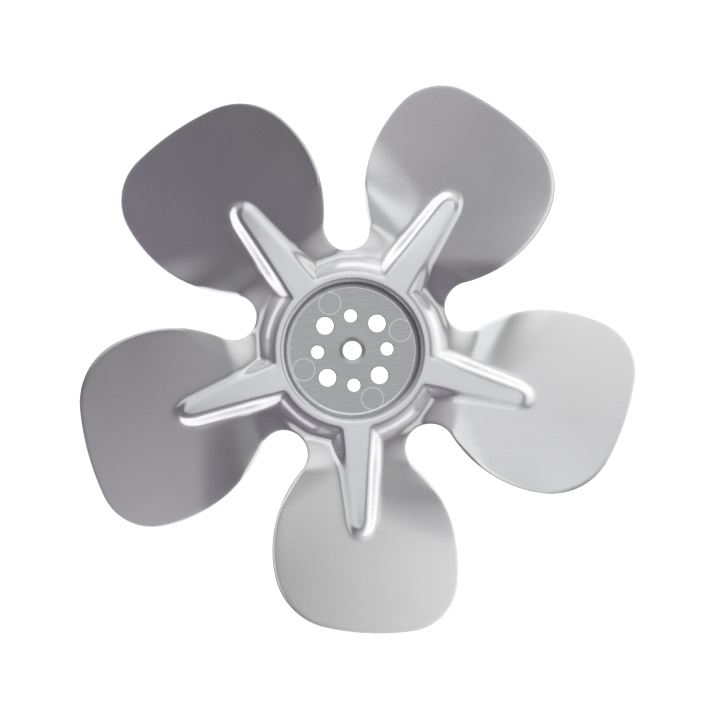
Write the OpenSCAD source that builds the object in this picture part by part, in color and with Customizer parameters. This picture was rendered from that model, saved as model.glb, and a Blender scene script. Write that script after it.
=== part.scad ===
// Pressed sheet-metal axial fan, one piece: a dished hub disc, a raised ring round it,
// and a blade on each of the ribs that run out from the ring.
// Millimetres. The back face of the hub disc lies on z = 0, the shaft bore is on the Z axis,
// and +Z points out of the open side of the hub recess.

/* [Fan] */
// Diameter over the blade tips
fan_d = 200; // [194:1:220]
// Thickness of the sheet
sheet_t = 1; // [0.8:0.1:1.4]
// Angle of the blades to the plane of rotation, degrees
pitch_deg = 28; // [12:1:32]
// Radius from which a blade has its whole pitch
full_pitch_r = 64; // [58:1:72]
// How far a blade's low edge drops below a flat blade
camber_h = 1.6; // [0:0.1:3]
// Height of the blades' middle line over the hub disc
blade_rise = 1; // [0:0.1:2.5]

/* [Hub] */
// Diameter of the flat of the hub disc
disc_d = 43.2; // [42:0.1:44]
// Height of the ring's top over the hub disc
ring_rise = 5.5; // [4.5:0.1:7]
// Middle radius of the bends at the foot and the rim of the recess
bend_r = 1.6; // [1.2:0.1:1.9]
// Slope of the recess wall, degrees
recess_wall_deg = 76; // [70:1:84]
// Diameter of the ring's flat top at its outer edge
ring_d = 55.8; // [55:0.1:59]
// Run of the ring's sloping outer wall
ring_wall_w = 3.4; // [2.5:0.1:4]

/* [Holes] */
// Diameter of the shaft bore
bore_d = 6.5; // [5:0.1:8]
// Outer diameter of the coined chamfer round the bore
coin_d = 9; // [8.6:0.1:11]
// Depth of that chamfer
coin_h = 0.3; // [0.1:0.05:0.4]
// Diameter of the small screw holes
small_hole_d = 4.5; // [3:0.1:5.5]
// Diameter of the small holes' pitch circle
small_pcd = 24; // [22:0.1:27]
// Diameter of the large screw holes
large_hole_d = 6; // [4:0.1:7]
// Diameter of the large holes' pitch circle
large_pcd = 25.4; // [23:0.1:28]

/* [Blade outline] */
// Radius of the floor of the notch between two blades
notch_floor_r = 34.8; // [34:0.1:36.5]
// Diameter of the round end of the notch
notch_d = 16; // [14:0.1:17]
// Reach of a blade's low edge from its middle line
low_reach = 34.7; // [33:0.1:36]
// Reach of a blade's high edge from its middle line
high_reach = 30.9; // [29.5:0.1:32]
// Radius of the low edge's outline
low_edge_r = 47.5; // [43:0.5:52]
// Radius of the high edge's outline
high_edge_r = 42; // [39:0.5:46]
// Radius of the tip's corner at the low edge
low_corner_r = 18; // [14:0.1:20]
// Radius of the tip's corner at the high edge
high_corner_r = 23.7; // [20:0.1:26]
// Radius of the tip between its corners
tip_r = 91.5; // [80:0.5:105]
// Angle of the outline where the tip meets its low corner, degrees
tip_lean_deg = 2.9; // [0:0.1:6]

/* [Ribs] */
// Radius at which the ribs end
rib_end_r = 64.5; // [60:0.5:70]
// Width of a rib's top where it leaves the ring
rib_root_w = 11.2; // [9:0.1:12]
// Width of a rib's top at its end
rib_tip_w = 4.4; // [3:0.1:6]
// Run of a rib's side walls where it leaves the ring
root_wall_w = 2.7; // [2:0.1:3.2]
// Run of a rib's side walls at its end
tip_wall_w = 2; // [1.5:0.1:2.6]
// Height of a rib's top over the blade's middle line at its end
rib_tip_rise = 2.4; // [1.5:0.1:4]
// Share of the blade's pitch that a rib's top takes up at its end
rib_lean = 0.5; // [0.2:0.05:0.9]

/* [Hidden] */

// Pattern
blades = 5;
half_sector = 180 / blades;
first_blade_deg = -90;
holes = 4;

// Facets
bend_steps = 6;
wall_rows = 2;
strip_rows = 2;
notch_rows = 6;
edge_rows = 14;
corner_rows = 5;
field_cols = 4;
round_fn = 96;
cut = 1;
slope_step = 0.2;
most_stretch = 2;

// Heights of the top face of the sheet
disc_z = sheet_t;
ring_z = sheet_t + ring_rise;
blade_z = sheet_t + blade_rise;

// Recess wall, between two bends
wall_h = ring_rise - 2 * bend_r * (1 - cos(recess_wall_deg));
rim_r = disc_d / 2 + 2 * bend_r * sin(recess_wall_deg) + wall_h / tan(recess_wall_deg);

// The turned hub and the formed sheet share a band of the ring's flat top
ring_r = ring_d / 2;
sheet_from_r = rim_r + 0.3 * (ring_r - rim_r);
hub_to_r = rim_r + 0.6 * (ring_r - rim_r);
ring_foot_r = ring_r + ring_wall_w;

// The blades turn to their pitch outside the strips that join them
twist_from_u = notch_floor_r * cos(half_sector);
twist_ease = 2.5;
camber_from_u = 45;
camber_to_u = 80;
row_growth = 1.4;

// Helpers for points and blends
function polar(r, a) = [r * cos(a), r * sin(a)];
function heading(p) = atan2(p.y, p.x);
function mix(a, b, t) = a * (1 - t) + b * t;
function share(x) = min(max(x, 0), 1);
function smooth(x) = let (t = share(x)) t * t * (3 - 2 * t);

// The point where two circles cross that lies farther out on side s
function meet(a, ra, b, rb, s) =
    let (
        gap = norm(b - a),
        along = (b - a) / gap,
        x = (ra * ra - rb * rb + gap * gap) / (2 * gap),
        y = sqrt(ra * ra - x * x),
        p = a + x * along,
        q = y * [-along.y, along.x]
    )
    s * q.y > 0 ? p + q : p - q;

// Points on an arc after its first, by angles that open toward side s
function arc(c, r, s, a0, a1, n) = [for (i = [1:n]) c + polar(r, s * mix(a0, a1, i / n))];

// Outline of one blade, in [u, w]: u runs out along the blade's middle line, and w across it,
// positive toward the high edge. Side s is -1 at the low edge and 1 at the high edge.
notch_r = notch_d / 2;
function side_value(s, low, high) = s < 0 ? low : high;
function edge_r(s) = side_value(s, low_edge_r, high_edge_r);
function corner_r(s) = side_value(s, low_corner_r, high_corner_r);
function notch_centre(s) = polar(notch_floor_r + notch_r, s * half_sector);
function edge_centre(s) =
    let (
        n = notch_centre(s),
        w = s * (side_value(s, low_reach, high_reach) - edge_r(s))
    )
    [n.x + sqrt(pow(edge_r(s) + notch_r, 2) - pow(w - n.y, 2)), w];
low_corner = meet(edge_centre(-1), low_edge_r - low_corner_r, [0, 0], fan_d / 2 - low_corner_r, -1);
tip_centre = low_corner + polar(low_corner_r - tip_r, -tip_lean_deg);
high_corner = meet(edge_centre(1), high_edge_r - high_corner_r, tip_centre, tip_r - high_corner_r, 1);
function corner_centre(s) = side_value(s, low_corner, high_corner);

// Where the outline's arcs turn into each other, as angles that open toward side s
function notch_end(s) = s * heading(edge_centre(s) - notch_centre(s));
function edge_end(s) = s * heading(corner_centre(s) - edge_centre(s));
function corner_end(s) = s * heading(corner_centre(s) - tip_centre);

// Rows of the sheet from the ring outward, each given by its end on side s
row_radii = concat(
    [sheet_from_r],
    [for (i = [0:wall_rows]) mix(ring_r, ring_foot_r, i / wall_rows)],
    [for (i = [1:strip_rows]) mix(ring_foot_r, notch_floor_r, i / strip_rows)]
);
function row_ends(s) = concat(
    [for (r = row_radii) polar(r, s * half_sector)],
    arc(notch_centre(s), notch_r, s, half_sector - 180, notch_end(s), notch_rows),
    arc(edge_centre(s), edge_r(s), s, notch_end(s) + 180, edge_end(s), edge_rows),
    arc(corner_centre(s), corner_r(s), s, edge_end(s), corner_end(s), corner_rows)
);
low_ends = row_ends(-1);
high_ends = row_ends(1);
rows = len(low_ends);
free_row = len(row_radii) - 1;

// Each row is an arc between its ends, round the hub's axis at first and flatter toward the tip
function row_arc_r(i) =
    i <= free_row
        ? row_radii[i]
        : mix(notch_floor_r, tip_r, pow((i - free_row) / (rows - 1 - free_row), row_growth));
function row_centre(i) =
    let (
        a = low_ends[i],
        b = high_ends[i],
        half = norm(b - a) / 2,
        inward = [a.y - b.y, b.x - a.x] / (2 * half)
    )
    (a + b) / 2 + inward * sqrt(pow(row_arc_r(i), 2) - half * half);

// Half widths of a rib, over its top and over the feet of its walls
function along_rib(u) = share((u - ring_r) / (rib_end_r - ring_r));
function rib_top(u) = mix(rib_root_w, rib_tip_w, along_rib(u)) / 2;
function rib_foot(u) = rib_top(u) + mix(root_wall_w, tip_wall_w, along_rib(u));

// Places across a row: even steps on the blade, and the edges of the rib
function row_places(i) =
    let (
        c = row_centre(i),
        u = c.x + row_arc_r(i),
        foot = rib_foot(u),
        top = rib_top(u),
        rib = [(foot + top) / 2, top, top / 2]
    )
    concat(
        [for (j = [0:field_cols]) mix(low_ends[i].y, -foot, j / field_cols)],
        -rib,
        [0, rib[2], rib[1], rib[0]],
        [for (j = [0:field_cols]) mix(foot, high_ends[i].y, j / field_cols)]
    );
function row_points(i) =
    let (c = row_centre(i))
    [for (w = row_places(i)) [c.x + sqrt(pow(row_arc_r(i), 2) - pow(w - c.y, 2)), w]];

// How much of the pitch a blade has at u: none in the strips between blades, all from full_pitch_r
function twist_run(u) =
    let (x = u - twist_from_u)
    x < 0 ? 0 : x < 2 * twist_ease ? x * x / (4 * twist_ease) : x - twist_ease;
function twist(u) = 1 - pow(1 - share(twist_run(u) / twist_run(full_pitch_r)), 2);

// Height of the blade alone, and of the flat ring top that runs out into the rib's top
function blade_height(u, w) =
    blade_z
    + tan(pitch_deg) * twist(u) * w
    - camber_h * smooth((u - camber_from_u) / (camber_to_u - camber_from_u)) * pow(w / low_reach, 2);
function raised_height(u, w) =
    mix(ring_z, blade_z + rib_tip_rise, smooth(along_rib(u)))
    + tan(pitch_deg) * twist(u) * w * rib_lean * along_rib(u);

// How far the sheet is raised: 1 on the ring's and the ribs' tops, 0 outside the feet of their walls
function ring_share(u, w) = share((ring_foot_r - norm([u, w])) / ring_wall_w);
rib_end_foot = rib_foot(rib_end_r);
rib_end_u = rib_end_r - rib_end_foot;
function rib_share(u, w) =
    let (
        v = min(u, rib_end_u),
        foot = rib_foot(u < rib_end_u ? u : rib_end_r),
        top = rib_top(u < rib_end_u ? u : rib_end_r)
    )
    share((foot - norm([u - v, w])) / (foot - top));
function height(u, w) =
    mix(blade_height(u, w), raised_height(u, w), max(ring_share(u, w), rib_share(u, w)));

// The sheet keeps its thickness on slopes, so its under face lies farther down there
function stretch(u, w) =
    let (
        du = height(u + slope_step, w) - height(u - slope_step, w),
        dw = height(u, w + slope_step) - height(u, w - slope_step)
    )
    min(norm([1, du / (2 * slope_step), dw / (2 * slope_step)]), most_stretch);

// Grid of the sheet for one blade as [u, w, top, underside], and its place on blade b
grid = [
    for (i = [0:rows - 1], p = row_points(i))
        let (z = height(p.x, p.y)) [p.x, p.y, z, z - sheet_t * stretch(p.x, p.y)]
];
cols = len(grid) / rows;
function placed(p, z, b) =
    let (a = first_blade_deg + 2 * half_sector * b)
    [p[0] * cos(a) + p[1] * sin(a), p[0] * sin(a) - p[1] * cos(a), z];
sheet_points = [
    for (face = [2, 3], b = [0:blades - 1], p = grid) placed(p, p[face], b)
];

// Number of a point: face 0 on top and 1 below, blade b, row i, column j.
// Up to the notch the last column of a blade is the first column of the blade before it.
function at(face, b, i, j) =
    let (shared = j == cols - 1 && i <= free_row)
    ((face * blades + (shared ? (b + blades - 1) % blades : b)) * rows + i) * cols + (shared ? 0 : j);

// Two triangles, and the strip of edge between the top and under faces
function quad(a, b, c, d) = [[a, b, c], [a, c, d]];
function edge(b, i0, j0, i1, j1) =
    quad(at(0, b, i0, j0), at(0, b, i1, j1), at(1, b, i1, j1), at(1, b, i0, j0));
function patch(b, i, j) = concat(
    quad(at(0, b, i, j), at(0, b, i + 1, j), at(0, b, i + 1, j + 1), at(0, b, i, j + 1)),
    quad(at(1, b, i, j), at(1, b, i, j + 1), at(1, b, i + 1, j + 1), at(1, b, i + 1, j))
);
function blade_faces(b) = concat(
    [for (i = [0:rows - 2], j = [0:cols - 2]) each patch(b, i, j)],
    [for (j = [0:cols - 2]) each edge(b, 0, j, 0, j + 1)],
    [for (j = [0:cols - 2]) each edge(b, rows - 1, j + 1, rows - 1, j)],
    [for (i = [free_row:rows - 2]) each edge(b, i + 1, 0, i, 0)],
    [for (i = [free_row:rows - 2]) each edge(b, i, cols - 1, i + 1, cols - 1)]
);

module blade_sheet() {
    polyhedron(sheet_points, [for (b = [0:blades - 1]) each blade_faces(b)]);
}

// Hub disc, recess wall and ring top, as the two faces of one bent strip: side 1 is its top face.
// A bend starts from the end of a flat, on a circle of radius r, and t is how much of it is done.
function face_z(top_z, side) = side > 0 ? top_z : top_z - sheet_t;
function bend_point(flat_end, r, flat_deg, wall_deg, t) =
    flat_end + polar(r, mix(flat_deg, wall_deg, t)) - polar(r, flat_deg);
function foot_point(side, t) =
    bend_point([disc_d / 2, face_z(disc_z, side)], bend_r - side * sheet_t / 2, -90, recess_wall_deg - 90, t);
function rim_point(side, t) =
    bend_point([rim_r, face_z(ring_z, side)], bend_r + side * sheet_t / 2, 90, recess_wall_deg + 90, t);
function hub_face(side) = concat(
    [for (i = [0:bend_steps]) foot_point(side, i / bend_steps)],
    [for (i = [bend_steps:-1:0]) rim_point(side, i / bend_steps)]
);
under_face = hub_face(-1);

module hub_blank() {
    rotate_extrude($fn = round_fn)
        polygon(concat(
            [[0, 0], [0, disc_z]],
            hub_face(1),
            [[hub_to_r, ring_z], [hub_to_r, face_z(ring_z, -1)]],
            [for (i = [len(under_face) - 1:-1:0]) under_face[i]]
        ));
}

module through_hole(d) {
    translate([0, 0, -cut])
        cylinder(d = d, h = sheet_t + 2 * cut, $fn = round_fn);
}

module screw_holes(d, pcd, from_deg) {
    for (k = [0:holes - 1])
        rotate(from_deg + k * 360 / holes)
            translate([pcd / 2, 0, 0])
                through_hole(d);
}

module coined_chamfer() {
    slope = (coin_d - bore_d) / 2 / coin_h;
    translate([0, 0, disc_z - coin_h])
        cylinder(d1 = bore_d, d2 = coin_d + 2 * cut * slope, h = coin_h + cut, $fn = round_fn);
}

module hub() {
    difference() {
        hub_blank();
        through_hole(bore_d);
        coined_chamfer();
        screw_holes(small_hole_d, small_pcd, first_blade_deg);
        screw_holes(large_hole_d, large_pcd, first_blade_deg + 180 / holes);
    }
}

module fan_blade() {
    color("silver") {
        hub();
        blade_sheet();
    }
}

fan_blade();
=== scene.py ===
# Looks of a pressed sheet-metal fan: one dense mesh of the formed sheet, its bright rolled finish,
# a pale floor and soft studio light. Sizes are in millimetres until a mesh or a lamp is made.
import math

import bpy
import numpy as np
from mathutils import Matrix, Vector
from mathutils.geometry import delaunay_2d_cdt


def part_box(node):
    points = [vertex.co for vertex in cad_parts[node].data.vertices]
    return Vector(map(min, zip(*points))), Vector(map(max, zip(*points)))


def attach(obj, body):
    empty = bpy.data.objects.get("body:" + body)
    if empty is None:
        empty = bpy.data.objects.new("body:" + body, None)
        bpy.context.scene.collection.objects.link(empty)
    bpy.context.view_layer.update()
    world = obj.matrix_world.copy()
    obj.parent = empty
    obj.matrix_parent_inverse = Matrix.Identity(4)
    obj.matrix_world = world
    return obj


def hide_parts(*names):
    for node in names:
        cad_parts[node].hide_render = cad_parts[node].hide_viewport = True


MM = 0.001

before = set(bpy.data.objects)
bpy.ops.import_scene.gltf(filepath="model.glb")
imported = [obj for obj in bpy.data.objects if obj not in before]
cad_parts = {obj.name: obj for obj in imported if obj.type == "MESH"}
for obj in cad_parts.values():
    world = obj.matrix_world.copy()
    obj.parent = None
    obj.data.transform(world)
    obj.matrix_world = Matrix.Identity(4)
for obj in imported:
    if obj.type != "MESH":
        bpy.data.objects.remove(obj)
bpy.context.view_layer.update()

# Sheet and blades
FAN_R = 100.0
SHEET_T = 1.0
PITCH = math.tan(math.radians(28.0))
FULL_PITCH_R = 64.0
CAMBER_H = 1.6
BLADE_RISE = 1.0
BLADES = 5
HALF_SECTOR = math.pi / BLADES
FIRST_BLADE = -math.pi / 2

# Hub
DISC_R = 21.6
RING_RISE = 5.5
BEND_R = 1.6
WALL_ANGLE = math.radians(76.0)
RING_R = 27.9
RING_WALL_W = 3.4

# Holes: radius of each kind and of its circle, and the angle of its first hole
BORE_R = 3.25
COIN_R = 4.5
COIN_H = 0.3
SMALL_HOLES = (2.25, 12.0, FIRST_BLADE)
LARGE_HOLES = (3.0, 12.7, FIRST_BLADE + math.pi / 4)
HOLES = 4

# Outline of a blade; the first value of a pair is for the low edge, the second for the high edge
NOTCH_FLOOR_R = 34.8
NOTCH_R = 8.0
REACH = (34.7, 30.9)
EDGE_R = (47.5, 42.0)
CORNER_R = (18.0, 23.7)
TIP_R = 91.5
TIP_LEAN = math.radians(2.9)

# Ribs
RIB_END_R = 64.5
RIB_ROOT_W = 11.2
RIB_TIP_W = 4.4
ROOT_WALL_W = 2.7
TIP_WALL_W = 2.0
RIB_TIP_RISE = 2.4
RIB_LEAN = 0.5

# Worked out from those
DISC_Z = SHEET_T
RING_Z = SHEET_T + RING_RISE
BLADE_Z = SHEET_T + BLADE_RISE
WALL_H = RING_RISE - 2 * BEND_R * (1 - math.cos(WALL_ANGLE))
RIM_R = DISC_R + 2 * BEND_R * math.sin(WALL_ANGLE) + WALL_H / math.tan(WALL_ANGLE)
RING_FOOT_R = RING_R + RING_WALL_W
TWIST_FROM = NOTCH_FLOOR_R * math.cos(HALF_SECTOR)
TWIST_EASE = 2.5
ROOT_PITCH = (0.66, 0.85)
ROOT_RISE = 13.0
FOLD_U = (48.7, 35.0)
FOLD_RUN = (0.35, 0.5)
FOLD_WIDTH = (17.0, 10.0)
FOLD_BLEND = 6.0
CAMBER_FROM = 45.0
CAMBER_TO = 80.0

# Fineness of the mesh, and how softly the sheet turns at the foot and crown of a wall
SOFTEN = 0.5
WALL_SPREAD = 1.15
RIM_INSET = 1.5
RING_ROWS = 3
WALL_ROWS = 14
STRIP_ROWS = 2
NOTCH_ROWS = 20
EDGE_ROWS = 38
CORNER_ROWS = 20
FIELD_COLS = 12
RIB_WALL_COLS = 8
RIB_TOP_COLS = 6
BEND_STEPS = 7
HOLE_STEPS = 48
ROW_GROWTH = 1.4
SLOPE_STEP = 0.2
MOST_STRETCH = 2.0

# Section of the sheet's cut edge: distance in from the outline, and drop below the top face
EDGE_ROLL = ((1.2, 0.015), (0.9, 0.05), (0.6, 0.12), (0.35, 0.22), (0.15, 0.36), (0.04, 0.5), (0.0, 0.66))

# Finish: the rolling lines' direction, their length, width and detail on the sheet and on the disc,
# the tones of the sheet, where the disc's much darker tones are painted shade, and the faint rings on the
# disc.
# UPRIGHT and LEANING are a face's upward share; faces more upright than LEANING are painted darker, as
# painted shade.
ROLLING_ANGLE = math.radians(-2.7)
SHEET_LINES = (25.0, 0.5, 2.0)
DISC_LINES = (5.0, 0.55, 4.0)
CLOUD_SIZE = 22.0
ROUGHNESS = (0.2, 0.34)
GRAIN_STRENGTH = 0.05
GRAIN_DEPTH = 0.1
SHEET_DARK = (0.83, 0.83, 0.845, 1)
SHEET_LIGHT = (0.89, 0.89, 0.90, 1)
# Painted shade: the disc's tones are much darker than the sheet's, though it is the same sheet; the streaks
# between them are rolled grain.
DISC_DARK_GRAIN_AND_SHADE = (0.43, 0.43, 0.435, 1)
DISC_LIGHT_GRAIN_AND_SHADE = (0.62, 0.62, 0.62, 1)
# Painted shade: upright faces, such as the cut edge and the hub's wall, are painted toward this dark
# colour.
UPRIGHT_PAINTED_SHADE = (0.36, 0.355, 0.36, 1)
UPRIGHT = 0.15
LEANING = 0.5
WITNESS_COLOUR = (0.86, 0.86, 0.86, 1)
WITNESS_R = 3.8
WITNESS_W = 0.14
WITNESS_CIRCLE_R = 18.0
WITNESS_ANGLES = tuple(math.radians(a) for a in (20.0, 113.0, 199.0, 290.0))

# Light: the floor's own glow; each lamp's place, aim, width, depth in metres and power in watts; and
# the two ends of the surroundings
LAMP_COLOUR = (0.95, 0.98, 1.0)
FLOOR_HALF = 3.0
FLOOR_GLOW = 0.78
OVERHEAD = ((0.0, -0.1, 1.25), (0.0, -0.1, 0.0), 1.3, 1.1, 2.3)
UPPER_LIGHT = ((-0.02, 0.8, 1.15), (0.0, 0.0, 0.0), 1.25, 0.75, 2.1)
BRIGHT_SIDE = math.radians(30)
WORLD_DIM = (0.125, 0.11, 0.135, 1)
WORLD_BRIGHT = (0.62, 0.62, 0.615, 1)
# How far up a direction points, and the strength of the surroundings there
WORLD_LOW = (0.4, 1.5)
WORLD_HIGH = (0.72, 0.6)

# Camera: nearly straight above the hub, with the fan turned a little in the picture
CAMERA_AT = Vector((-31.84, -34.26, 1000.0)) * MM
CAMERA_AIM = Vector((2.50, -3.42, 1.0)) * MM
CAMERA_ROLL = math.radians(2.743)
FIELD_OF_VIEW = math.radians(14.17)


def polar(r, a):
    return np.array([r * math.cos(a), r * math.sin(a)])


def heading(p):
    return math.atan2(p[1], p[0])


def mix(a, b, t):
    return a * (1 - t) + b * t


def smooth(x):
    t = np.clip(x, 0, 1)
    return t * t * (3 - 2 * t)


def bent(run, e=SOFTEN):
    """A wall's run from 0 to 1, spread a little and with both of its corners rounded over e."""
    x = 0.5 + (run - 0.5) / WALL_SPREAD
    low = (x + e) ** 2 / (4 * e)
    high = 1 - (1 + e - x) ** 2 / (4 * e)
    return np.select([x < -e, x < e, x < 1 - e, x < 1 + e], [0, low, x, high], 1)


def meet(a, ra, b, rb, side):
    """The point where two circles cross that lies farther out on a side."""
    gap = np.linalg.norm(b - a)
    along = (b - a) / gap
    x = (ra * ra - rb * rb + gap * gap) / (2 * gap)
    y = math.sqrt(ra * ra - x * x)
    q = y * np.array([-along[1], along[0]])
    return a + x * along + (q if side * q[1] > 0 else -q)


# Outline, in (u, w): u runs out along the blade's middle line and w across it, positive toward the
# high edge. Side is -1 at the low edge and 1 at the high edge.
def side_value(side, pair):
    return pair[0] if side < 0 else pair[1]


def notch_centre(side):
    return polar(NOTCH_FLOOR_R + NOTCH_R, side * HALF_SECTOR)


def edge_centre(side):
    n = notch_centre(side)
    r = side_value(side, EDGE_R)
    w = side * (side_value(side, REACH) - r)
    return np.array([n[0] + math.sqrt((r + NOTCH_R) ** 2 - (w - n[1]) ** 2), w])


LOW_CORNER = meet(edge_centre(-1), EDGE_R[0] - CORNER_R[0], np.zeros(2), FAN_R - CORNER_R[0], -1)
TIP_CENTRE = LOW_CORNER + polar(CORNER_R[0] - TIP_R, -TIP_LEAN)
HIGH_CORNER = meet(edge_centre(1), EDGE_R[1] - CORNER_R[1], TIP_CENTRE, TIP_R - CORNER_R[1], 1)


def outline_arcs(side):
    """The notch, edge and corner of one side: centre, radius, 1 where the sheet is inside, angles, rows."""
    corner = side_value(side, (LOW_CORNER, HIGH_CORNER))
    notch_end = side * heading(edge_centre(side) - notch_centre(side))
    edge_end = side * heading(corner - edge_centre(side))
    corner_end = side * heading(corner - TIP_CENTRE)
    return (
        (notch_centre(side), NOTCH_R, -1, HALF_SECTOR - math.pi, notch_end, NOTCH_ROWS),
        (edge_centre(side), side_value(side, EDGE_R), 1, notch_end + math.pi, edge_end, EDGE_ROWS),
        (corner, side_value(side, CORNER_R), 1, edge_end, corner_end, CORNER_ROWS),
    )


def row_radii(inset):
    """Radii of the rows that run all the way round, out to the floor of the notches."""
    spread = SOFTEN * RING_WALL_W
    wall_from = RING_R - spread
    wall_to = RING_FOOT_R + spread
    return np.concatenate([
        np.linspace(RIM_R, wall_from, RING_ROWS, endpoint=False),
        np.linspace(wall_from, wall_to, WALL_ROWS, endpoint=False),
        np.linspace(wall_to, NOTCH_FLOOR_R - inset, STRIP_ROWS + 1),
    ])


def row_ends(side, inset):
    """The end of every row on one side, where the outline is drawn in by inset."""
    ends = [polar(r, side * HALF_SECTOR) for r in row_radii(inset)]
    for centre, r, inside, a0, a1, n in outline_arcs(side):
        for i in range(1, n + 1):
            ends.append(centre + polar(r - inside * inset, side * mix(a0, a1, i / n)))
    return np.array(ends)


FREE_ROW = len(row_radii(0)) - 1


# Form of the sheet
def twist(u):
    """Share of the pitch that a blade has at u."""
    def run(v):
        x = v - TWIST_FROM
        return np.where(x < 0, 0, np.where(x < 2 * TWIST_EASE, x * x / (4 * TWIST_EASE), x - TWIST_EASE))
    return 1 - (1 - np.clip(run(u) / run(np.array(FULL_PITCH_R)), 0, 1)) ** 2


def along_rib(u):
    return np.clip((u - RING_R) / (RIB_END_R - RING_R), 0, 1)


def rib_top(u):
    return mix(RIB_ROOT_W, RIB_TIP_W, along_rib(u)) / 2


def rib_wall(u):
    return mix(ROOT_WALL_W, TIP_WALL_W, along_rib(u))


def folded_twist(u, w):
    """Share of the pitch on the blade's own face: a flatter root plane, then a fold that runs outward
    from the rib to either edge, and the full pitch past it."""
    side = smooth((w + FOLD_BLEND) / (2 * FOLD_BLEND))
    fold = mix(FOLD_U[0] - FOLD_RUN[0] * w, FOLD_U[1] + FOLD_RUN[1] * w, side)
    width = mix(FOLD_WIDTH[0], FOLD_WIDTH[1], side)
    root = smooth((u - TWIST_FROM) / ROOT_RISE)
    share = mix(ROOT_PITCH[0], ROOT_PITCH[1], side)
    return root * mix(share, 1, smooth(0.5 + (u - fold) / width))


def blade_height(u, w):
    camber = CAMBER_H * smooth((u - CAMBER_FROM) / (CAMBER_TO - CAMBER_FROM)) * (w / REACH[0]) ** 2
    return BLADE_Z + PITCH * folded_twist(u, w) * w - camber


def raised_height(u, w):
    lean = PITCH * twist(u) * w * RIB_LEAN * along_rib(u)
    return mix(RING_Z, BLADE_Z + RIB_TIP_RISE, smooth(along_rib(u))) + lean


def ring_share(u, w):
    return bent((RING_FOOT_R - np.hypot(u, w)) / RING_WALL_W)


RIB_END_U = RIB_END_R - rib_top(RIB_END_R) - rib_wall(RIB_END_R)


def rib_share(u, w):
    v = np.minimum(u, RIB_END_U)
    at = np.where(u < RIB_END_U, u, RIB_END_R)
    return bent((rib_top(at) + rib_wall(at) - np.hypot(u - v, w)) / rib_wall(at))


def height(u, w):
    raised = np.maximum(ring_share(u, w), rib_share(u, w))
    return mix(blade_height(u, w), raised_height(u, w), raised)


def stretch(u, w):
    """How much thicker than the sheet a slope is, measured upright."""
    du = (height(u + SLOPE_STEP, w) - height(u - SLOPE_STEP, w)) / (2 * SLOPE_STEP)
    dw = (height(u, w + SLOPE_STEP) - height(u, w - SLOPE_STEP)) / (2 * SLOPE_STEP)
    return np.minimum(np.sqrt(1 + du ** 2 + dw ** 2), MOST_STRETCH)


# Grid of one blade
def row_places(low_w, high_w, u):
    """Places across a row: even steps on the blade, and close ones over the rib's walls."""
    top = rib_top(u) - SOFTEN * rib_wall(u)
    foot = rib_top(u) + (1 + SOFTEN) * rib_wall(u)
    low_field = np.linspace(low_w, -foot, FIELD_COLS, endpoint=False)
    wall = np.linspace(foot, top, RIB_WALL_COLS, endpoint=False)
    crown = np.linspace(-top, top, RIB_TOP_COLS, endpoint=False)
    high_field = np.linspace(foot, high_w, FIELD_COLS + 1)
    return np.concatenate([low_field, -wall, crown, wall[::-1] - (foot - top) / RIB_WALL_COLS, high_field])


def sheet_grid(inset):
    """Points (u, w) of every row, as an array of rows by columns by 2."""
    low = row_ends(-1, inset)
    high = row_ends(1, inset)
    radii = row_radii(inset)
    rows = []
    for i, (a, b) in enumerate(zip(low, high)):
        if i <= FREE_ROW:
            r = radii[i]
        else:
            outward = ((i - FREE_ROW) / (len(low) - 1 - FREE_ROW)) ** ROW_GROWTH
            r = mix(NOTCH_FLOOR_R - inset, TIP_R - inset, outward)
        half = np.linalg.norm(b - a) / 2
        inward = np.array([a[1] - b[1], b[0] - a[0]]) / (2 * half)
        centre = (a + b) / 2 + inward * math.sqrt(r * r - half * half)
        w = row_places(a[1], b[1], centre[0] + r)
        rows.append(np.stack([centre[0] + np.sqrt(r * r - (w - centre[1]) ** 2), w], axis=-1))
    return np.array(rows)


def placed(uw, z, blade):
    """Points (u, w) of a blade with their heights, in the frame of the fan."""
    a = FIRST_BLADE + 2 * HALF_SECTOR * blade
    u, w = uw[..., 0], uw[..., 1]
    return np.stack([u * math.cos(a) + w * math.sin(a), u * math.sin(a) - w * math.cos(a), z], axis=-1)


class Skin:
    """Vertices and faces of one mesh as it grows."""

    def __init__(self):
        self.points = []
        self.faces = []

    def add(self, points):
        """Adds points and returns their numbers, in the same arrangement."""
        flat = np.asarray(points, float).reshape(-1, 3)
        first = len(self.points)
        self.points.extend(flat.tolist())
        return np.arange(first, first + len(flat)).reshape(np.asarray(points).shape[:-1])

    def strip(self, a, b, closed=False):
        """Quads between two lines of points; their front is on the left of line a seen from b."""
        n = len(a)
        for i in range(n if closed else n - 1):
            j = (i + 1) % n
            self.faces.append((a[i], a[j], b[j], b[i]))

    def loops(self, lines):
        """Closed strips from each loop of points to the next."""
        for a, b in zip(lines, lines[1:]):
            self.strip(a, b, closed=True)


def blade_numbers(skin, uw, z):
    """Adds the grid of every blade. Up to the notch, neighbours share the column between them."""
    shared = FREE_ROW + 1
    numbers = []
    for b in range(BLADES):
        at = placed(uw, z, b)
        round_rows = skin.add(at[:shared, :-1])
        spare = np.zeros((shared, 1), int)
        numbers.append(np.vstack([np.hstack([round_rows, spare]), skin.add(at[shared:])]))
    for b in range(BLADES):
        numbers[b][:shared, -1] = numbers[(b - 1) % BLADES][:shared, 0]
    return numbers


def round_line(numbers, row):
    """A row's points all the way round the hub, against the clock seen from above."""
    line = []
    for b in range(BLADES):
        line.extend(numbers[b][row, ::-1][:-1])
    return line


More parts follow.
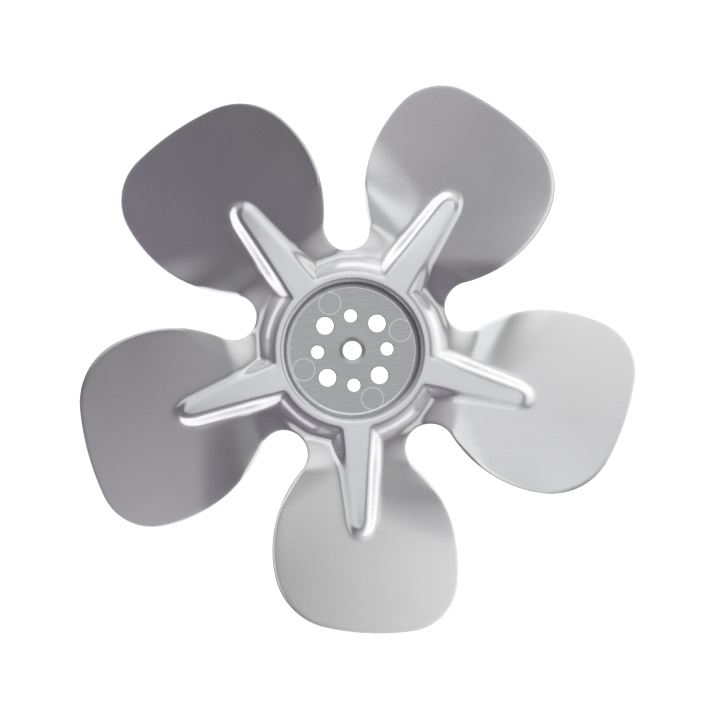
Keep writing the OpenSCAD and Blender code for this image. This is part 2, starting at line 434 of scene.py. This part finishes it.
def outline_points(inset, grid):
    """A blade's free outline at an inset, in (u, w), point for point as the grid's border: up the low
    side from the notch's floor, over the tip, and down the high side."""
    low = row_ends(-1, inset)[FREE_ROW:]
    high = row_ends(1, inset)[FREE_ROW:]
    tip = grid[-1, 1:-1] - TIP_CENTRE
    tip = TIP_CENTRE + tip / np.linalg.norm(tip, axis=-1, keepdims=True) * (TIP_R - inset)
    return np.concatenate([low, tip, high[:0:-1]])


def border_line(numbers):
    """Numbers of the grid's free border, in the order of outline_points."""
    line = []
    for b in range(BLADES, 0, -1):
        n = numbers[b % BLADES]
        line.extend(n[FREE_ROW:, 0])
        line.extend(n[-1, 1:-1])
        line.extend(n[:FREE_ROW:-1, -1])
    return line


def edge_loop(skin, inset, grid, z_of):
    """Adds the outline at an inset as a closed loop of points."""
    uw = outline_points(inset, grid)
    z = z_of(uw[:, 0], uw[:, 1])
    line = []
    for b in range(BLADES, 0, -1):
        line.extend(skin.add(placed(uw, z, b % BLADES)))
    return line


def build_sheet(skin):
    """The ring, ribs and blades, top and underside, and the cut edge between them.
    Returns the innermost line of points of the top and of the underside."""
    grid = sheet_grid(RIM_INSET)
    u, w = grid[..., 0], grid[..., 1]
    top_z = height(u, w)
    under_z = top_z - SHEET_T * stretch(u, w)
    top = blade_numbers(skin, grid, top_z)
    under = blade_numbers(skin, grid, under_z)
    for b in range(BLADES):
        for i in range(grid.shape[0] - 1):
            skin.strip(top[b][i], top[b][i + 1])
            skin.strip(under[b][i + 1], under[b][i])

    def under_height(a, b):
        return height(a, b) - SHEET_T * stretch(a, b)

    lines = [border_line(top)]
    for inset, drop in EDGE_ROLL:
        lines.append(edge_loop(skin, inset, grid, lambda a, b, d=drop: height(a, b) - d * SHEET_T))
    lines.append(edge_loop(skin, 0.0, grid, lambda a, b: under_height(a, b) + 0.06))
    lines.append(edge_loop(skin, 0.06, grid, under_height))
    lines.append(border_line(under))
    skin.loops(lines)
    return round_line(top, 0), round_line(under, 0)


def bend_points(flat_r, flat_z, r, flat_a, wall_a):
    """A bend's section from the end of a flat, as (radius, height)."""
    turn = [polar(r, mix(flat_a, wall_a, i / BEND_STEPS)) - polar(r, flat_a) for i in range(BEND_STEPS + 1)]
    return [(flat_r + p[0], flat_z + p[1]) for p in turn]


def hub_section(side):
    """Section of the hub's top face (side 1) or underside (side -1), from the ring down to the disc."""
    lower = 0 if side > 0 else SHEET_T
    quarter = math.pi / 2
    rim = bend_points(RIM_R, RING_Z - lower, BEND_R + side * SHEET_T / 2, quarter, quarter + WALL_ANGLE)
    foot = bend_points(DISC_R, DISC_Z - lower, BEND_R - side * SHEET_T / 2, -quarter, WALL_ANGLE - quarter)
    return rim[1:] + foot[::-1] + [(DISC_R - 0.5, DISC_Z - lower)]


def turned(skin, line, section):
    """Carries a line of points round the hub down a section, and returns every line."""
    angles = [math.atan2(skin.points[n][1], skin.points[n][0]) for n in line]
    lines = [line]
    for r, z in section:
        lines.append(list(skin.add([[r * math.cos(a), r * math.sin(a), z] for a in angles])))
    return lines


def circle(skin, x, y, r, z):
    """Adds a round loop of points."""
    steps = [2 * math.pi * i / HOLE_STEPS for i in range(HOLE_STEPS)]
    return list(skin.add([[x + r * math.cos(a), y + r * math.sin(a), z] for a in steps]))


def hole_section(r, lead):
    """Section of a punched hole from the top face to the back: (radius, height)."""
    return lead + [
        (r + 0.35, DISC_Z - 0.01), (r + 0.12, DISC_Z - 0.05), (r + 0.03, DISC_Z - 0.13), (r, DISC_Z - 0.25),
        (r, 0.1), (r + 0.03, 0.03), (r + 0.1, 0.0),
    ]


def bore_section():
    """The bore's section, with the coined chamfer and its low raised lip."""
    return [
        (COIN_R + 0.55, DISC_Z), (COIN_R + 0.35, DISC_Z + 0.03), (COIN_R + 0.18, DISC_Z + 0.03),
        (COIN_R, DISC_Z - 0.02), (COIN_R - 0.15, DISC_Z - 0.07), (BORE_R + 0.2, DISC_Z - COIN_H + 0.02),
        (BORE_R + 0.06, DISC_Z - COIN_H - 0.03), (BORE_R, DISC_Z - COIN_H - 0.12),
        (BORE_R, 0.1), (BORE_R + 0.03, 0.03), (BORE_R + 0.1, 0.0),
    ]


def hole_places():
    places = [(0.0, 0.0, bore_section())]
    for r, circle_r, first in (SMALL_HOLES, LARGE_HOLES):
        for k in range(HOLES):
            p = polar(circle_r, first + 2 * math.pi * k / HOLES)
            places.append((p[0], p[1], hole_section(r, [(r + 0.6, DISC_Z)])))
    return places


def fill_disc(skin, outer, inner_loops, holes, z, up):
    """Fills a flat face between its outer line and the loops in it, and leaves the holes open."""
    numbers = list(outer)
    edges = [(i, (i + 1) % len(outer)) for i in range(len(outer))]
    for loop in inner_loops:
        first = len(numbers)
        numbers.extend(loop)
        edges.extend((first + i, first + (i + 1) % len(loop)) for i in range(len(loop)))
    flat = [Vector(skin.points[n][:2]) for n in numbers]
    verts, _, faces, origins, _, _ = delaunay_2d_cdt(flat, edges, [], 0, 1e-6)
    back = [numbers[o[0]] for o in origins]
    for face in faces:
        middle = sum((verts[i] for i in face), Vector((0.0, 0.0))) / len(face)
        if any((middle - Vector((x, y))).length < r for x, y, r in holes) or middle.length > DISC_R:
            continue
        a, b, c = (verts[i] for i in face)
        facing_up = (b[0] - a[0]) * (c[1] - a[1]) > (b[1] - a[1]) * (c[0] - a[0])
        tri = [back[i] for i in face]
        skin.faces.append(tuple(tri if facing_up == up else tri[::-1]))


def build_hub(skin, top_line, under_line):
    """Recess wall and disc, with the holes through the disc."""
    top_lines = turned(skin, top_line, hub_section(1))
    under_lines = turned(skin, under_line, hub_section(-1))
    skin.loops(top_lines)
    skin.loops([line[::-1] for line in under_lines])
    top_loops = []
    under_loops = []
    top_open = []
    under_open = []
    for x, y, section in hole_places():
        loops = [circle(skin, x, y, r, z) for r, z in section]
        skin.loops(loops)
        top_loops.append(loops[0])
        under_loops.append(loops[-1])
        top_open.append((x, y, section[0][0]))
        under_open.append((x, y, section[-1][0]))
    fill_disc(skin, top_lines[-1], top_loops, top_open, DISC_Z, True)
    fill_disc(skin, under_lines[-1], under_loops, under_open, 0.0, False)


def make_fan():
    skin = Skin()
    top_line, under_line = build_sheet(skin)
    build_hub(skin, top_line, under_line)
    mesh = bpy.data.meshes.new("formed_sheet")
    points = [[c * MM for c in p] for p in skin.points]
    faces = [tuple(int(i) for i in f) for f in skin.faces]
    mesh.from_pydata(points, [], faces)
    mesh.update()
    mesh.polygons.foreach_set("use_smooth", [True] * len(mesh.polygons))
    fan = bpy.data.objects.new("formed_sheet", mesh)
    bpy.context.scene.collection.objects.link(fan)
    return fan


fan = make_fan()
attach(fan, "root")
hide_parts("fan_blade")


def node(tree, kind, x, y, **inputs):
    """Adds a shader node. An input is a value, or an output socket to link from."""
    n = tree.nodes.new(kind)
    n.location = (x, y)
    for key, value in inputs.items():
        socket = n.inputs[key.replace("_", " ")]
        if isinstance(value, bpy.types.NodeSocket):
            tree.links.new(value, socket)
        else:
            socket.default_value = value
    return n


def blank_material(name):
    m = bpy.data.materials.new(name)
    m.use_nodes = True
    m.node_tree.nodes.clear()
    return m


def ramp(tree, x, y, value, low, high):
    """Carries a value from 0..1 onto low..high."""
    n = node(tree, "ShaderNodeMapRange", x, y, Value=value)
    n.inputs["To Min"].default_value = low
    n.inputs["To Max"].default_value = high
    return n.outputs["Result"]


def math_node(tree, x, y, operation, *values):
    n = tree.nodes.new("ShaderNodeMath")
    n.location = (x, y)
    n.operation = operation
    for socket, value in zip(n.inputs, values):
        if isinstance(value, bpy.types.NodeSocket):
            tree.links.new(value, socket)
        else:
            socket.default_value = value
    return n.outputs["Value"]


def colour_mix(tree, x, y, factor, a, b):
    n = node(tree, "ShaderNodeMix", x, y)
    n.data_type = "RGBA"
    tree.links.new(factor, n.inputs["Factor"])
    for socket, value in ((n.inputs["A"], a), (n.inputs["B"], b)):
        if isinstance(value, bpy.types.NodeSocket):
            tree.links.new(value, socket)
        else:
            socket.default_value = value
    return n.outputs["Result"]


def streaks(tree, x, y, where, along, across, detail):
    """Noise drawn out along the direction in which the sheet was rolled; lengths in millimetres."""
    along, across = along * MM, across * MM
    m = node(tree, "ShaderNodeMapping", x, y, Vector=where)
    m.inputs["Rotation"].default_value = (0, 0, -ROLLING_ANGLE)
    m.inputs["Scale"].default_value = (1 / along, 1 / across, 1 / along)
    n = node(tree, "ShaderNodeTexNoise", x + 200, y, Vector=m.outputs["Vector"])
    n.inputs["Scale"].default_value = 1.0
    n.inputs["Detail"].default_value = detail
    return n.outputs["Fac"]


def near_disc(tree, x, y, where):
    """1 on the disc in the recess, 0 elsewhere."""
    flat = node(tree, "ShaderNodeVectorMath", x, y)
    flat.operation = "MULTIPLY"
    tree.links.new(where, flat.inputs[0])
    flat.inputs[1].default_value = (1, 1, 0)
    length = node(tree, "ShaderNodeVectorMath", x + 200, y)
    length.operation = "LENGTH"
    tree.links.new(flat.outputs["Vector"], length.inputs[0])
    return math_node(tree, x + 400, y, "LESS_THAN", length.outputs["Value"], DISC_R * MM)


def witness_rings(tree, x, y, where):
    """1 on the four faint rings pressed into the disc."""
    found = None
    for i, a in enumerate(WITNESS_ANGLES):
        centre = polar(WITNESS_CIRCLE_R * MM, a)
        far = node(tree, "ShaderNodeVectorMath", x, y - 200 * i)
        far.operation = "DISTANCE"
        tree.links.new(where, far.inputs[0])
        far.inputs[1].default_value = (centre[0], centre[1], DISC_Z * MM)
        reach = far.outputs["Value"]
        on = math_node(tree, x + 200, y - 200 * i, "COMPARE", reach, WITNESS_R * MM, WITNESS_W * MM)
        found = on if found is None else math_node(tree, x + 400, y - 200 * i, "MAXIMUM", found, on)
    return found


def painted_shade_by_facing(tree, x, y):
    """Share for painted shade by facing: 0 on upright faces, such as the cut edge and the hub's wall, which
    are painted darker, and 1 on all that lies flatter than the ring's wall.
    """
    facing = node(tree, "ShaderNodeTexCoord", x, y).outputs["Normal"]
    parts = node(tree, "ShaderNodeSeparateXYZ", x + 200, y, Vector=facing)
    up = math_node(tree, x + 400, y, "ABSOLUTE", parts.outputs["Z"])
    n = node(tree, "ShaderNodeMapRange", x + 600, y, Value=up)
    n.inputs["From Min"].default_value = UPRIGHT
    n.inputs["From Max"].default_value = LEANING
    return n.outputs["Result"]


def sheet_metal():
    """Bright rolled aluminium sheet. The disc isn't stretched, and keeps more of the rolled face in coarser
    rolling lines; its much darker tones are painted shade, and upright faces are painted darker as painted
    shade.
    """
    m = blank_material("rolled_aluminium")
    t = m.node_tree
    where = node(t, "ShaderNodeTexCoord", -2200, 0).outputs["Object"]
    fine = streaks(t, -1900, 300, where, *SHEET_LINES)
    coarse = streaks(t, -1900, 0, where, *DISC_LINES)
    cloud = node(t, "ShaderNodeTexNoise", -1700, -300, Vector=where)
    cloud.inputs["Scale"].default_value = 1 / (CLOUD_SIZE * MM)
    cloud.inputs["Detail"].default_value = 4.0
    disc = near_disc(t, -1900, -600, where)
    rings = math_node(t, -1000, -700, "MULTIPLY", witness_rings(t, -1900, -900, where), disc)
    sheet_colour = colour_mix(t, -1300, 300, fine, SHEET_DARK, SHEET_LIGHT)
    # Painted shade on the disc, between two dark tones along its rolling lines.
    disc_grain_and_painted_shade = colour_mix(t, -1300, 0, coarse, DISC_DARK_GRAIN_AND_SHADE, DISC_LIGHT_GRAIN_AND_SHADE)
    disc_rings_and_painted_shade = colour_mix(t, -1100, 0, rings, disc_grain_and_painted_shade, WITNESS_COLOUR)
    colour = colour_mix(t, -900, 200, disc, sheet_colour, disc_rings_and_painted_shade)
    # Painted shade: faces are darkened by how upright they stand.
    tone = colour_mix(t, -700, 200, painted_shade_by_facing(t, -1300, 600), UPRIGHT_PAINTED_SHADE, colour)
    grain = math_node(t, -1100, -300, "MULTIPLY_ADD", coarse, disc, fine)
    bump = node(t, "ShaderNodeBump", -500, -300, Height=math_node(t, -800, -300, "ADD", grain, rings))
    bump.inputs["Strength"].default_value = GRAIN_STRENGTH
    bump.inputs["Distance"].default_value = GRAIN_DEPTH * MM
    bsdf = node(t, "ShaderNodeBsdfPrincipled", -200, 0)
    bsdf.inputs["Metallic"].default_value = 1.0
    t.links.new(tone, bsdf.inputs["Base Color"])
    t.links.new(ramp(t, -500, -50, cloud.outputs["Fac"], *ROUGHNESS), bsdf.inputs["Roughness"])
    t.links.new(bump.outputs["Normal"], bsdf.inputs["Normal"])
    out = node(t, "ShaderNodeOutputMaterial", 100, 0)
    t.links.new(bsdf.outputs["BSDF"], out.inputs["Surface"])
    return m


fan.data.materials.append(sheet_metal())


def floor_material():
    """Pale floor that shows white to the eye and in the metal, and still takes the fan's shadow."""
    m = blank_material("floor")
    t = m.node_tree
    path = node(t, "ShaderNodeLightPath", -900, 300).outputs
    looked_at = math_node(t, -700, 300, "MAXIMUM", path["Is Camera Ray"], path["Is Glossy Ray"])
    seen = math_node(t, -500, 300, "MAXIMUM", looked_at, path["Is Transmission Ray"])
    pale = node(t, "ShaderNodeBsdfDiffuse", -500, 0, Color=(0.9, 0.9, 0.9, 1))
    glow = node(t, "ShaderNodeEmission", -500, -200, Color=(1, 1, 1, 1), Strength=FLOOR_GLOW)
    both = node(t, "ShaderNodeAddShader", -300, -100)
    t.links.new(pale.outputs["BSDF"], both.inputs[0])
    t.links.new(glow.outputs["Emission"], both.inputs[1])
    mixed = node(t, "ShaderNodeMixShader", -100, 0)
    t.links.new(seen, mixed.inputs["Fac"])
    t.links.new(pale.outputs["BSDF"], mixed.inputs[1])
    t.links.new(both.outputs["Shader"], mixed.inputs[2])
    out = node(t, "ShaderNodeOutputMaterial", 100, 0)
    t.links.new(mixed.outputs["Shader"], out.inputs["Surface"])
    return m


def flat_mesh(name, half, z):
    """A level square round the origin."""
    mesh = bpy.data.meshes.new(name)
    corners = [(-half, -half, z), (half, -half, z), (half, half, z), (-half, half, z)]
    mesh.from_pydata(corners, [], [(0, 1, 2, 3)])
    o = bpy.data.objects.new(name, mesh)
    bpy.context.scene.collection.objects.link(o)
    return o


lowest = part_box("fan_blade")[0][2]
floor = flat_mesh("floor", FLOOR_HALF, lowest)
floor.data.materials.append(floor_material())


def softbox(name, place, aim, width, depth, power):
    """A large soft lamp at a place, turned to face a point."""
    lamp = bpy.data.lights.new(name, "AREA")
    lamp.shape = "RECTANGLE"
    lamp.size = width
    lamp.size_y = depth
    lamp.energy = power
    lamp.color = LAMP_COLOUR
    o = bpy.data.objects.new(name, lamp)
    o.location = place
    o.rotation_mode = "QUATERNION"
    o.rotation_quaternion = (Vector(aim) - Vector(place)).to_track_quat("-Z", "Y")
    bpy.context.scene.collection.objects.link(o)
    return o


softbox("overhead", *OVERHEAD)
softbox("upper_light", *UPPER_LIGHT)


def studio_world():
    """Soft surroundings, brighter toward one side of the room."""
    w = bpy.data.worlds.new("studio")
    w.use_nodes = True
    t = w.node_tree
    where = node(t, "ShaderNodeTexCoord", -800, 0).outputs["Generated"]
    lean = node(t, "ShaderNodeVectorMath", -600, 0)
    lean.operation = "DOT_PRODUCT"
    t.links.new(where, lean.inputs[0])
    lean.inputs[1].default_value = (math.cos(BRIGHT_SIDE), math.sin(BRIGHT_SIDE), 0.0)
    shade = node(t, "ShaderNodeValToRGB", -400, 0)
    half = node(t, "ShaderNodeMapRange", -500, 200, Value=lean.outputs["Value"])
    half.inputs["From Min"].default_value = -1.0
    t.links.new(half.outputs["Result"], shade.inputs["Fac"])
    shade.color_ramp.elements[0].color = WORLD_DIM
    shade.color_ramp.elements[1].color = WORLD_BRIGHT
    height_part = node(t, "ShaderNodeSeparateXYZ", -600, -250, Vector=where)
    glow = node(t, "ShaderNodeMapRange", -400, -250, Value=height_part.outputs["Z"])
    glow.inputs["From Min"].default_value = WORLD_LOW[0]
    glow.inputs["From Max"].default_value = WORLD_HIGH[0]
    glow.inputs["To Min"].default_value = WORLD_LOW[1]
    glow.inputs["To Max"].default_value = WORLD_HIGH[1]
    strength = glow.outputs["Result"]
    room = node(t, "ShaderNodeBackground", -100, -100, Color=shade.outputs["Color"], Strength=strength)
    white = node(t, "ShaderNodeBackground", -100, -300, Color=(1, 1, 1, 1))
    path = node(t, "ShaderNodeLightPath", -100, 300)
    seen = node(t, "ShaderNodeMixShader", 150, 0, Fac=path.outputs["Is Camera Ray"])
    t.links.new(room.outputs["Background"], seen.inputs[1])
    t.links.new(white.outputs["Background"], seen.inputs[2])
    t.nodes.remove(t.nodes["Background"])
    t.links.new(seen.outputs["Shader"], t.nodes["World Output"].inputs["Surface"])
    return w


bpy.context.scene.world = studio_world()

lens = bpy.data.cameras.new("camera")
lens.sensor_width = 36.0
lens.lens = 18.0 / math.tan(FIELD_OF_VIEW / 2)
camera = bpy.data.objects.new("camera", lens)
back = (CAMERA_AT - CAMERA_AIM).normalized()
up = Vector((math.sin(CAMERA_ROLL), math.cos(CAMERA_ROLL), 0.0))
right = up.cross(back).normalized()
turn = Matrix((right, back.cross(right), back)).transposed()
camera.matrix_world = Matrix.Translation(CAMERA_AT) @ turn.to_4x4()
bpy.context.scene.collection.objects.link(camera)
bpy.context.scene.camera = camera
bpy.context.scene.view_settings.view_transform = "Standard"
